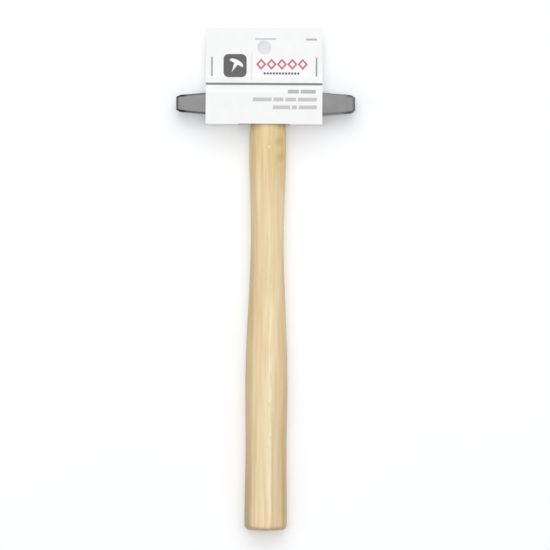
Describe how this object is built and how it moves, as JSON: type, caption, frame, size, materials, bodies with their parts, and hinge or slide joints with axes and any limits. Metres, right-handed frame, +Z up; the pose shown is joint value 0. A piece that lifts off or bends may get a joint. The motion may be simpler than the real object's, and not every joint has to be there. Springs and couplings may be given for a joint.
{
  "type": "tack hammer",
  "caption": "Slim double-faced tack hammer with a flattened hardwood handle, held in a folded and stapled paperboard header card with a hang hole.",
  "frame": {"origin": "on the surface that the hammer lies on, straight below the centre of the head's eye", "axes": "+X along the head towards the driving face, +Y along the handle from its butt towards the card's top edge, +Z up from the surface"},
  "size_m": [0.117, 0.3291, 0.019],
  "materials": {
    "head_steel": "satin",
    "handle_wood": "satin",
    "wedge_wood": "matte",
    "wedge_steel": "satin",
    "magnet_nickel": "polished",
    "card_board": "satin",
    "staple_wire": "satin"
  },
  "bodies": {
    "hammer": {"hammer_head": "head_steel", "handle": "handle_wood", "wooden_wedge": "wedge_wood", "steel_wedge_left": "wedge_steel", "steel_wedge_right": "wedge_steel", "face_magnet": "magnet_nickel"},
    "card": {"header_card": "card_board", "staple_left": "staple_wire", "staple_right": "staple_wire"}
  },
  "joints": [
    {"name": "card_slide", "type": "slide", "parent": "hammer", "child": "card", "axis": [0, 1, 0], "range_m": [0, 0.0045]}
  ]
}
